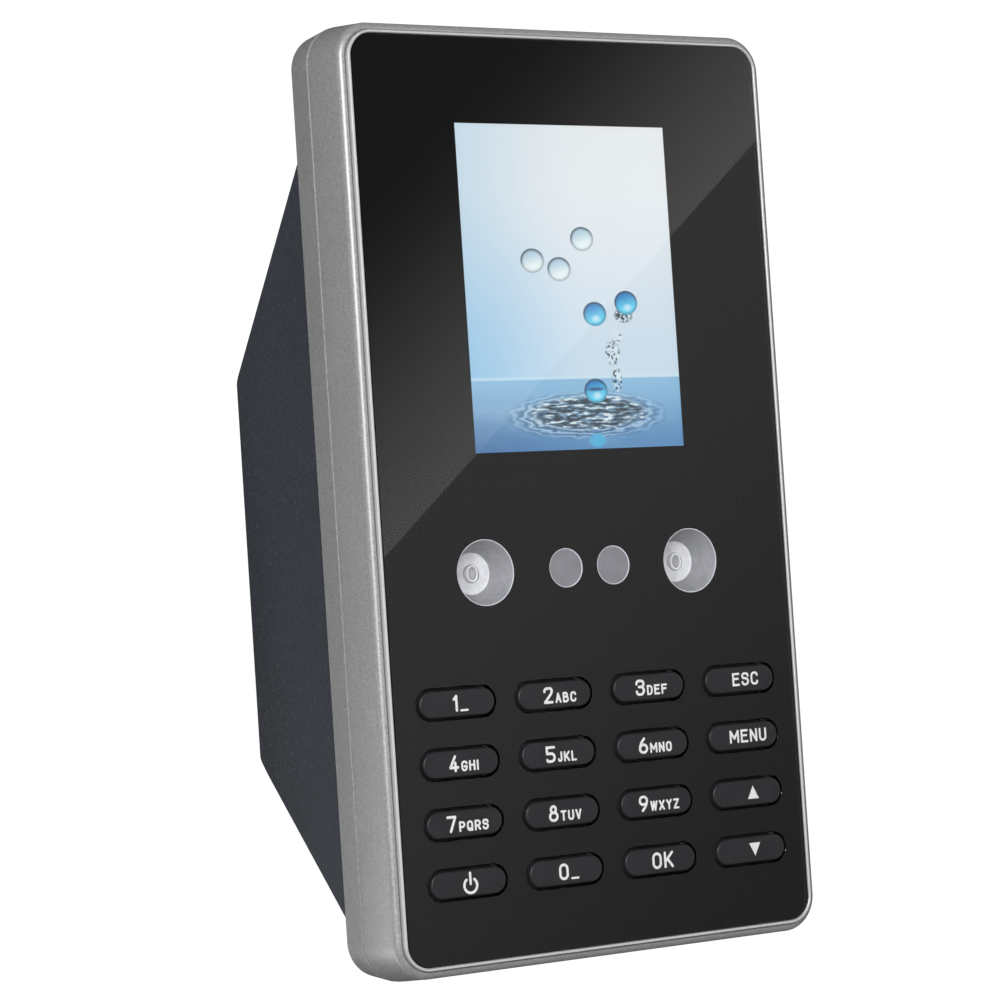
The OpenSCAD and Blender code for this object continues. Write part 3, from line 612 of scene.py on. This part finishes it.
def front_bezel():
    edge_r, step, seam = 1.2, 0.85, 10.2
    inner = -0.45
    floor_edge = -1.5
    lip = [(inner, FLOOR_FRONT), (inner, 0.1), (inner + 0.1, 0.0), (-0.1, 0.0), (0.0, 0.1), (0.0, step + 0.1)]
    groove = [(0.0, step + 0.45), (0.22, step + 0.45), (0.22, step + 0.08), (0.3, step)]
    edge = list(arc((0.3, step + edge_r), edge_r, -90, 0, 12))[1:]
    wall = [(2.34, seam - 0.24), (2.31, seam - 0.13), (2.2, seam - 0.1)]
    tongue = [(0.6, seam - 0.1), (0.6, 13.4), (-0.05, 13.4), (-0.05, FLOOR_BACK)]
    profile = lip + groove + edge + wall + tongue
    shape = Shape()
    loops = swept(shape, LIP_W, LIP_H, LIP_R, profile, lambda i: int(i < len(lip) - 1), closed=False)
    rims = [shape.loop(rounded(LIP_W, LIP_H, LIP_R, floor_edge, 20), y) for y in (FLOOR_FRONT, FLOOR_BACK)]
    shape.skin([loops[-1], rims[1]])
    shape.skin([rims[0], loops[0]])
    # The floor behind the panel, with holes for the display, lamps, cameras and keys
    glass_w, glass_h = (GLASS[1][i] - GLASS[0][i] for i in (0, 2))
    openings = [(rounded(glass_w + 0.6, glass_h + 0.6, 0.8, 0, 4), 0.0, middle("display_glass")[2])]
    openings += [(circle(LAMP_WINDOW_R + 1.3), m[0], m[2]) for m in LAMPS]
    opening = rounded(CAMERA_OPENING_W, CAMERA_OPENING_H, CAMERA_OPENING_R, 0, 6)
    openings += [(opening, 0.0, CAMERAS[0][2])]
    openings += [(pill(HOLE_W, HOLE_H), m[0], m[2]) for m in KEY_MIDDLES.values()]
    sides = [[shape.loop(outline, y, x, z) for outline, x, z in openings] for y in (FLOOR_FRONT, FLOOR_BACK)]
    for front, back in zip(*sides):
        shape.skin([front, back])
    shape.plate(rims[0], sides[0])
    shape.plate(rims[1], sides[1])
    make("bezel", shape, [SILVER, LIP_SILVER_PAINTED_LIGHT], replaces=["front_bezel"])


def rear_frame():
    low, high = place("rear_frame")
    y0, y1 = low[1], high[1]
    soft = 0.5
    taper = 0.4
    profile = [(-1.6, y0 + 0.1), (-0.2, y0 + 0.1), (-0.07, y0 + 0.15), (0.0, y0 + 0.28)]
    profile += list(arc((-taper - soft, y1 - soft), soft, 0, 90, 8))
    profile += [(-1.6, y1)]
    shape = Shape()
    swept(shape, SEAM_W, SEAM_H, SEAM_R, profile)
    make("rear_band", shape, [REAR_SILVER_SHADED], replaces=["rear_frame"])


# ---------------------------------------------------------------- front panel

def front_panel():
    """One clear sheet. Its rear carries the black print except at the windows."""
    low, high = place("front_panel")
    w, h = high[0] - low[0], high[2] - low[2]
    y0, y1, edge = low[1], high[1], 0.12
    shape = Shape()

    def walls(outline, sign, x=0.0, z=0.0):
        rings = [shape.loop(outline(-sign * edge), y0, x, z), shape.loop(outline(0), y0 + edge, x, z)]
        rings.append(shape.loop(outline(0), y1, x, z))
        shape.skin(rings)
        return rings[0], rings[-1]

    outer = walls(lambda grow: rounded(w, h, PANEL_R, grow, 16), 1)
    holes = [
        walls(lambda grow: pill(HOLE_W, HOLE_H, grow), -1, m[0], m[2]) for m in KEY_MIDDLES.values()
    ]
    shape.plate(outer[0], [hole[0] for hole in holes])
    screen_w = GLASS[1][0] - GLASS[0][0] - GLASS_MARGIN_W
    screen_h = GLASS[1][2] - GLASS[0][2] - GLASS_MARGIN_H
    windows = [shape.loop(rounded(screen_w, screen_h, 0.05, 0, 1), y1, 0, middle("display_glass")[2])]
    windows += [shape.loop(circle(LAMP_WINDOW_R), y1, m[0], m[2]) for m in LAMPS]
    windows += [shape.loop(circle(CAMERA_WINDOW_R), y1, m[0], m[2]) for m in CAMERAS]
    shape.plate(outer[1], [hole[1] for hole in holes], windows, kind=1, window_kind=0)
    make("clear_panel", shape, [CLEAR, PRINT], replaces=["front_panel"])


def window_rims():
    """The thin light edge of the print round each lamp and camera window."""
    shape = Shape()
    y0, y1 = place("panel_mask")[0][1] + 0.02, place("panel_mask")[1][1]
    rim, rim_front = 0.16, 0.13
    for m, r in [(m, LAMP_WINDOW_R) for m in LAMPS] + [(m, CAMERA_WINDOW_R) for m in CAMERAS]:
        shape.lathe([(r, y0), (r, y1), (r - rim, y1), (r - rim_front, y0)], m[0], m[2], closed=True)
    make("window_rims", shape, [WINDOW_RIM])


def reflectors():
    """Deep cup behind each lamp window: a cone whose walls carry painted shade, darker than its bright floor.
    """
    for side, lamp in zip(("left", "right"), LAMPS):
        name = "reflector_" + side
        low, high = place(name)
        outer, y0, y1 = (high[0] - low[0]) / 2, low[1], high[1]
        wall, floor_r, hole_r = 0.7, 3.6, 1.6
        mouth, floor_y = outer - wall, y1 - wall
        shape = Shape()
        inner = [(mouth, y0), (mouth - 0.06, y0 + 0.1)]
        inner += [(floor_r + 0.15, floor_y - 0.35), (floor_r + 0.03, floor_y - 0.12)]
        shape.lathe([(outer, y0)] + inner, lamp[0], lamp[2])
        shape.lathe([inner[-1], (floor_r - 0.12, floor_y), (hole_r, floor_y)], lamp[0], lamp[2], kind=1)
        back = [(hole_r, floor_y), (hole_r, y1), (floor_r + wall, y1), (outer, y0)]
        shape.lathe(back, lamp[0], lamp[2])
        make(name + "_cup", shape, [CONE_PAINTED_SHADE, CUP_FLOOR], replaces=[name])


def lamps():
    """Small oval lamp in the middle of each cup: a bright ring round a dished lens."""
    oval = 0.72
    for side in ("left", "right"):
        name = "lamp_" + side
        low, high = place(name)
        x, _, z = middle(name)
        tip, back = low[1] + 0.5, high[1]
        shape = Shape()
        dish = [(0.3, tip + 0.5), (0.95, tip + 0.45), (1.17, tip + 0.12)]
        ring = [dish[-1], (1.25, tip), (1.42, tip), (1.48, tip + 0.12), (1.48, tip + 1.8)]
        first = len(shape.points)
        shape.lathe(dish, x, z, 48, kind=1, cap_start=True)
        body = shape.lathe(ring, x, z, 48)
        for i in range(first, len(shape.points)):
            px, py, pz = shape.points[i]
            shape.points[i] = (x + (px - x) * oval, py, pz)
        collar = shape.lathe([(1.9, tip + 1.8), (1.9, back)], x, z, 48, cap_end=True)
        shape.skin([body[-1], collar[0]])
        make(name + "_lens", shape, [LAMP_RING, FINISHES["lamp_lens"]], replaces=[name])


# ---------------------------------------------------------------- keys

KEY_W, KEY_H = 14.8, 4.6
LEGEND_RISE = 0.02
LEGENDS = {
    "key_1": ("1", "_"), "key_2": ("2", "ABC"), "key_3": ("3", "DEF"), "key_esc": ("", "ESC"),
    "key_4": ("4", "GHI"), "key_5": ("5", "JKL"), "key_6": ("6", "MNO"), "key_menu": ("", "MENU"),
    "key_7": ("7", "PQRS"), "key_8": ("8", "TUV"), "key_9": ("9", "WXYZ"), "key_up": ("up", ""),
    "key_power": ("power", ""), "key_0": ("0", "_"), "key_ok": ("", "OK"), "key_down": ("down", ""),
}
LEGEND_SHIFT = 0.45
LEGEND_SHIFTS = {
    "key_2": 0.95, "key_power": 0.25, "key_esc": 1.15, "key_menu": 0.95, "key_up": 1.2, "key_down": 0.8,
}
DIGIT_CAP, LETTER_CAP = 2.85, 1.8
WORD_CAPS = {"OK": 2.9, "ESC": 2.35, "MENU": 2.35}
THICK, THIN = 0.46, 0.36

# Handle length of a Bezier curve that stands in for a quarter of a circle
ARC_HANDLE = 0.5523

# Strokes of each character on a grid 6 wide and 9 high: two figures for each point. A stroke that
# starts with ~ has rounded corners, and one that starts with o is rounded and closed.
STROKES = {
    "0": "o00 09 69 60", "1": "17 39 30", "2": "~07 09 69 66 00, 00 60",
    "3": "~07 09 69 65 25, ~25 65 60 00 02",
    "4": "49 02 62, 45 40", "5": "69 09 05, ~05 65 60 00 01", "6": "o00 05 65 60, ~02 05 49",
    "7": "09 69 20", "8": "o00 05 65 60, o15 19 59 55", "9": "o69 64 04 09, ~67 64 20",
    "A": "00 39 60, 13 53", "B": "00 09, ~09 59 55 05, ~05 65 60 00", "C": "~67 69 09 00 60 62",
    "D": "00 09, ~09 69 60 00", "E": "69 09 00 60, 05 55", "F": "69 09 00, 05 55",
    "G": "~67 69 09 00 60 64, 64 34", "H": "00 09, 60 69, 05 65", "I": "00 09", "J": "~49 40 00 02",
    "K": "00 09, 69 03, 25 60", "L": "09 00 50", "M": "00 09 43 89 80", "N": "00 09 60 69",
    "O": "o00 09 69 60", "P": "00 09, ~09 69 64 04", "Q": "o00 09 69 60, 32 60",
    "R": "00 09, ~09 69 64 04, 34 60",
    "S": "~67 69 09 05 65 60 00 02", "T": "09 69, 39 30", "U": "~09 00 60 69", "V": "09 30 69",
    "W": "09 20 49 60 89", "X": "00 69, 09 60", "Y": "09 35 69, 35 30", "Z": "09 69 00 60", "_": "00 90",
}


def key_shape(name):
    """A pill with a rounded rim, a flange behind the panel, and a plunger."""
    low, high = place(name)
    x, _, z = middle(name)
    face = low[1] + LEGEND_RISE
    soft = 0.32
    shape = Shape()
    rim = [(-soft * 1.6, face), (-soft, face + 0.01)]
    for a in np.radians(range(15, 91, 15)):
        rim.append((-soft + soft * math.sin(a), face + soft - soft * math.cos(a)))
    loops = [shape.loop(pill(KEY_W, KEY_H, grow), y, x, z) for grow, y in rim]
    flange, flange_back = FLOOR_BACK + 0.2, FLOOR_BACK + 1.0
    body = [(0.0, flange), (0.79, flange), (0.79, flange_back)]
    loops += [shape.loop(pill(KEY_W, KEY_H, grow), y, x, z) for grow, y in body]
    loops += [shape.loop(pill(9, 2.8), y, x, z) for y in (flange_back, high[1])]
    shape.skin(loops)
    shape.face(loops[0])
    shape.face(loops[-1])
    return shape, face


def round_corners(points, radius, closed):
    """A path whose corners are arcs."""
    out = [] if closed else [points[0]]
    n = len(points)
    for i in range(n) if closed else range(1, n - 1):
        here = np.array(points[i])
        ways = [np.array(points[(i + d) % n]) - here for d in (-1, 1)]
        sizes = [np.linalg.norm(way) for way in ways]
        ends = [0.5 if closed or 0 < (i + d) < n - 1 else 1.0 for d in (-1, 1)]
        reach = min(radius, *(size * end for size, end in zip(sizes, ends)))
        a, b = (here + way / size * reach for way, size in zip(ways, sizes))
        first, second = a + (here - a) * ARC_HANDLE, b + (here - b) * ARC_HANDLE
        for t in np.linspace(0, 1, 9):
            u = 1 - t
            out.append(tuple(a * u ** 3 + first * 3 * u * u * t + second * 3 * u * t * t + b * t ** 3))
    return out if closed else out + [points[-1]]


def ribbon(points, width, closed=False):
    """A flat stroke of even width along a path, with round ends, as points and faces."""
    path = [np.array(p) for p in points]
    n = len(path)
    sides = []
    for i in range(n):
        runs = []
        if closed or i > 0:
            runs.append(path[i] - path[i - 1])
        if closed or i < n - 1:
            runs.append(path[(i + 1) % n] - path[i])
        normals = [np.array((-run[1], run[0])) / np.linalg.norm(run) for run in runs]
        mean = sum(normals) / len(normals)
        size = max(np.linalg.norm(mean), 0.45)
        sides.append(mean / size / size * width / 2)
    left = [p + side for p, side in zip(path, sides)]
    right = [p - side for p, side in zip(path, sides)]
    points = left + right
    faces = [[i, (i + 1) % n, n + (i + 1) % n, n + i] for i in range(n if closed else n - 1)]
    if not closed:
        for i, sign in ((0, 1), (n - 1, -1)):
            centre, start = path[i], sides[i] * sign
            first = len(points)
            fan = []
            for a in np.linspace(0, math.pi, 9)[1:-1]:
                fan.append(first + len(fan))
                cos, sin = math.cos(a), math.sin(a)
                points.append(centre + (start[0] * cos - start[1] * sin, start[0] * sin + start[1] * cos))
            begin, end = (i, n + i) if sign == 1 else (n + i, i)
            faces.append([begin] + fan + [end])
    return np.array(points), faces


def smooth_runs(points, closed):
    """The path cut at its sharp corners, where two round ends meet better than a mitre."""
    first = 0 if closed else 1
    moves = [i for i in range(first, len(points)) if math.dist(points[i], points[i - 1]) > 1e-3]
    points = points[:first] + [points[i] for i in moves]
    runs, start = [], 0
    for i in range(1, len(points) - 1):
        before, after = (np.subtract(points[i + d], points[i + d - 1]) for d in (0, 1))
        if not closed and before @ after < -0.1 * np.linalg.norm(before) * np.linalg.norm(after):
            runs.append(points[start:i + 1])
            start = i
    return runs + [points[start:]]


def characters(text, cap, stroke):
    """The strokes of a few characters whose capitals are cap high, from x = 0, and their whole width."""
    high, wide, gap = cap - stroke, 0.68 * cap - stroke, 0.17 * cap
    parts, x = [], 0.0
    for character in text:
        right = 0.0
        for path in STROKES[character].split(", "):
            style = path[0] if path[0] in "~o" else ""
            grid = [(int(p[0]), int(p[1])) for p in path[len(style):].split(" ")]
            right = max([right] + [px for px, _ in grid])
            points = [(x + stroke / 2 + px / 6 * wide, stroke / 2 + pz / 9 * high) for px, pz in grid]
            if style:
                points = round_corners(points, wide * 0.62, style == "o")
            parts += [ribbon(run, stroke, style == "o") for run in smooth_runs(points, style == "o")]
        x += right / 6 * wide + stroke + gap
    return parts, x - gap


def moved(parts, x, z):
    return [(points + (x, z), faces) for points, faces in parts]


def power_sign():
    r, gap = 1.25, 38
    ring = ribbon(list(arc((0, -0.42), r, 90 + gap, 450 - gap, 40)), THICK)
    return [ring, ribbon([(0, -0.15), (0, 1.68)], THICK)]


def triangle(sign):
    half_w, half_h = 1.2, 1.15
    points = [(-half_w, -half_h * sign), (half_w, -half_h * sign), (0, half_h * sign)]
    return [(np.array(points), [[0, 1, 2][::sign]])]


def legend_parts(big, small):
    """Flat outlines of one key's legend, round its middle."""
    if big in ("up", "down"):
        return triangle(1 if big == "up" else -1)
    if big == "power":
        return power_sign()
    if not big:
        cap = WORD_CAPS[small]
        word, width = characters(small, cap, THICK if small == "OK" else 0.4)
        return moved(word, -width / 2, -cap / 2)
    digit, digit_w = characters(big, DIGIT_CAP, THICK)
    tail, tail_w = characters(small, LETTER_CAP, THIN)
    gap = 0.42
    start = -(digit_w + gap + tail_w) / 2
    return moved(digit, start, -DIGIT_CAP / 2) + moved(tail, start + digit_w + gap, -DIGIT_CAP / 2)


def joined_sheet(parts):
    """One sheet of triangles that covers the same ground as overlapping strokes."""
    flat, faces = [], []
    for points, outlines in parts:
        for outline in outlines:
            for i, j in zip(outline[1:], outline[2:]):
                a, b, c = (Vector(points[k]) for k in (outline[0], i, j))
                turn = (b - a).cross(c - a)
                if abs(turn) > 1e-6:
                    faces.append([len(flat), len(flat) + 1, len(flat) + 2])
                    flat += [a, b, c] if turn > 0 else [a, c, b]
    joined = delaunay_2d_cdt(flat, [], faces, 0, 1e-4)
    a, b, c = (np.array([flat[face[k]] for face in faces]) for k in range(3))

    def covered(spot):
        inside_all = np.ones(len(a), bool)
        for start, end in ((a, b), (b, c), (c, a)):
            way, off = end - start, spot - start
            inside_all &= way[:, 0] * off[:, 1] - way[:, 1] * off[:, 0] > -1e-6
        return inside_all.any()

    kept = [list(face) for face in joined[2] if covered(sum((np.array(joined[0][i]) for i in face)) / 3)]
    return [tuple(point) for point in joined[0]], kept


def key_and_legend(name):
    shape, face = key_shape(name)
    body = name + "_body"
    make(name + "_cap", shape, [KEY_PLASTIC], body=body, replaces=[name], crease=40)
    x, _, z = KEY_MIDDLES[name]
    x += LEGEND_SHIFTS.get(name, LEGEND_SHIFT)
    low = place(name)[0][1]
    flat, triangles = joined_sheet(legend_parts(*LEGENDS[name]))
    print_shape = Shape()
    front = print_shape.loop(flat, low, x, z)
    back = print_shape.loop(flat, face + 0.01, x, z)
    used = set()
    for corners in triangles:
        print_shape.face([front[i] for i in corners])
        print_shape.face([back[i] for i in reversed(corners)])
        used |= set(zip(corners, corners[1:] + corners[:1]))
    for i, j in sorted(used):
        if (j, i) not in used:
            print_shape.face((front[i], front[j], back[j], back[i]))
    make(name + "_legend", print_shape, [LEGEND_WHITE], body=body, crease=20)


# ---------------------------------------------------------------- camera and studio

LENS = 116.05
CAMERA_AT = (-305.32, -469.61, -18.02)
LOOK = Vector((0.52163, 0.85262, 0.03076))
UP = Vector((0.04004, -0.06048, 0.99737))

# Strength of the world's light on rough surfaces and in reflections
WORLD_LEVEL, WORLD_GLOSS = 0.26, 0.08
# Where the slanting line of light crosses the panel's left and right edge (x, z)
CARD_LOW_LEFT = (-41.5, -10.0)
CARD_HIGH_RIGHT = (41.5, 62.0)
# The card's reach to each side of the line in m, and its light near and far from the line
CARD_HALF = 0.5
CARD_ABOVE = (1.75, 0.24)
CARD_BELOW = (0.74, 0.38)


def camera():
    data = bpy.data.cameras.new("camera")
    data.lens = LENS
    data.sensor_width = 36
    data.clip_start = 0.01
    data.clip_end = 20
    holder = bpy.data.objects.new("camera", data)
    bpy.context.scene.collection.objects.link(holder)
    bpy.context.scene.camera = holder
    look = LOOK.normalized()
    right = look.cross(UP).normalized()
    up = right.cross(look)
    turn = Matrix((right, up, -look)).transposed().to_4x4()
    holder.matrix_world = Matrix.Translation(at(*CAMERA_AT)) @ turn


def area_light(name, place_at, size, watts):
    data = bpy.data.lights.new(name, "AREA")
    data.shape = "DISK"
    data.size = size
    data.energy = watts
    holder = bpy.data.objects.new(name, data)
    bpy.context.scene.collection.objects.link(holder)
    holder.location = place_at
    holder.rotation_euler = (at(0, 20, 0) - Vector(place_at)).to_track_quat("-Z", "Y").to_euler()


def stage_mesh(name, points, faces, material):
    mesh = bpy.data.meshes.new(name)
    mesh.from_pydata(points, [], faces)
    for face in mesh.polygons:
        face.use_smooth = True
    mesh.materials.append(material)
    holder = bpy.data.objects.new(name, mesh)
    bpy.context.scene.collection.objects.link(holder)
    return holder


def studio():
    """Pale sweep of floor and backdrop, soft lamps, and a card that the glossy panel mirrors."""
    floor_z = cad_box[0].z - 0.09
    reach, bend = 3.0, 1.0
    g = Graph("pale_floor")
    g.finish(
        Base_Color=g.mix(g.noise(60), (0.90, 0.90, 0.90), (0.93, 0.93, 0.93)), Roughness=0.8,
        Emission_Color=(1.0, 1.0, 1.0), Emission_Strength=0.8,
    )
    side = [(-reach, floor_z)]
    for a in np.radians(range(0, 91, 6)):
        side.append((reach - bend + bend * math.sin(a), floor_z + bend - bend * math.cos(a)))
    side.append((reach, floor_z + 4.0))
    points = [(x, y, z) for y, z in side for x in (-4.0, 4.0)]
    faces = [(2 * i, 2 * i + 1, 2 * i + 3, 2 * i + 2) for i in range(len(side) - 1)]
    sweep = stage_mesh("pale_sweep", points, faces, g.material)
    sweep.visible_glossy = False
    sweep.visible_diffuse = False
    sweep.visible_shadow = False

    world = bpy.data.worlds.new("studio")
    bpy.context.scene.world = world
    world.use_nodes = True
    tree = world.node_tree
    background = tree.nodes["Background"]
    path = tree.nodes.new("ShaderNodeLightPath")
    level = tree.nodes.new("ShaderNodeMapRange")
    level.inputs["To Min"].default_value = WORLD_LEVEL
    level.inputs["To Max"].default_value = WORLD_GLOSS
    tree.links.new(path.outputs["Is Glossy Ray"], level.inputs["Value"])
    tree.links.new(level.outputs["Result"], background.inputs["Strength"])
    background.inputs["Color"].default_value = (1.0, 1.0, 1.0, 1.0)

    area_light("main_light", at(-620, -850, 300), 0.6, 10.5)
    area_light("low_side_light", at(-420, 160, -330), 0.3, 0.35)
    area_light("low_rear_light", at(-430, 430, -260), 0.3, 0.5)
    mirror_card()
    bpy.context.scene.view_settings.view_transform = "Standard"


def mirror_card():
    """A glowing card in front, which the panel mirrors. Its light changes at a slanting line."""
    eye = at(*CAMERA_AT)
    distance = 0.6

    def mirrored(x, z):
        """Where the card lies that the camera sees at this place of the panel."""
        spot = at(x, 0, z)
        way = spot - eye
        way.y = -way.y
        return spot + way * (distance / -way.y)

    a, b = mirrored(*CARD_LOW_LEFT), mirrored(*CARD_HIGH_RIGHT)
    along = (b - a).normalized()
    across = Vector((0, -1, 0)).cross(along).normalized()
    if across.z < 0:
        across = -across
    a, b = a - along * 0.3, b + along * 0.3
    points = [(x, y, 0) for x, y in ((-1, 0), (1, 0), (1, 1), (-1, 1))]
    g = Graph("card_glow")
    split = g.node("ShaderNodeSeparateXYZ", {"Vector": g.place()})
    x = Num(g, split.outputs[0])
    above = g.ramp(x, -0.06, 0.21, *CARD_ABOVE)
    below = g.ramp(x, 0, -0.5, *CARD_BELOW)
    side = g.ramp(x, -0.0003, 0.0003)
    amount = above * side + below * (1.0 - side)
    light = g.node("ShaderNodeEmission", {"Color": (1, 1, 1), "Strength": amount})
    g.put(g.output.inputs["Surface"], light.outputs[0])
    card = stage_mesh("mirror_card", points, [(0, 1, 2, 3)], g.material)
    columns = (across * CARD_HALF, b - a, across.cross(along))
    card.matrix_world = Matrix.Translation(a) @ Matrix(columns).transposed().to_4x4()
    card.visible_camera = False
    card.visible_diffuse = False
    card.visible_shadow = False
    card.visible_transmission = False


# ---------------------------------------------------------------- build

camera()
dress_cad_nodes()
front_bezel()
rear_frame()
front_panel()
window_rims()
reflectors()
lamps()
for key in KEYS:
    key_and_legend(key)
soften(frame["nodes"]["back_housing"], 0.5)
soften(frame["nodes"]["wall_plate"], 0.15)
studio()
